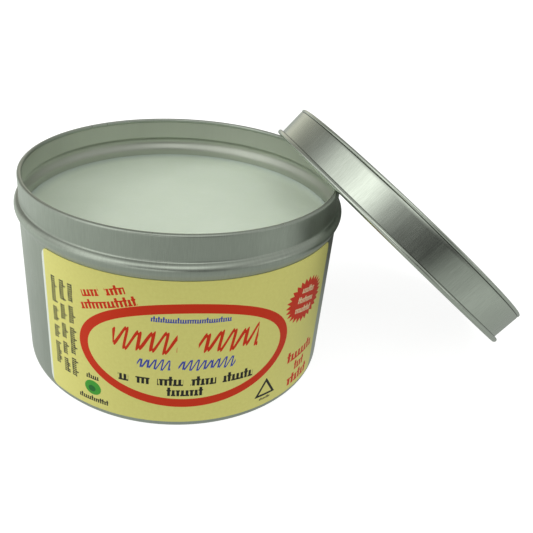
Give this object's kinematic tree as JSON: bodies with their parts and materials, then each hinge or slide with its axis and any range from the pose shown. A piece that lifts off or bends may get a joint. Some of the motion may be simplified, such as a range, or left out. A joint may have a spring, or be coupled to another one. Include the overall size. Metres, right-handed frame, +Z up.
{
  "type": "shoe polish tin",
  "caption": "Round open metal tin of pale hard wax with a wrapped front label, and its slip lid leaning on the rim with its lower edge on the table.",
  "frame": {"origin": "on the axis of the tin, at the flat underside of its base", "axes": "+Z up along the axis of the tin, -Y out through the label, +X towards the leaning lid"},
  "size_m": [0.1676, 0.1018, 0.0742],
  "materials": {
    "tinplate": "satin tinplate with a fine brushed grain",
    "lid_plate": "satin tinplate with a fine brushed grain",
    "pale_wax": "smooth, slightly translucent hard wax",
    "printed_paper": "satin printed label"
  },
  "bodies": {
    "tin": {"tin_body": "tinplate", "wax": "pale_wax", "label": "printed_paper"},
    "lid": {"lid": "lid_plate"}
  },
  "joints": [
    {"name": "lid_lift", "type": "slide", "parent": "tin", "child": "lid", "axis": [0, 0, 1], "range_m": [0, 0.08]}
  ]
}
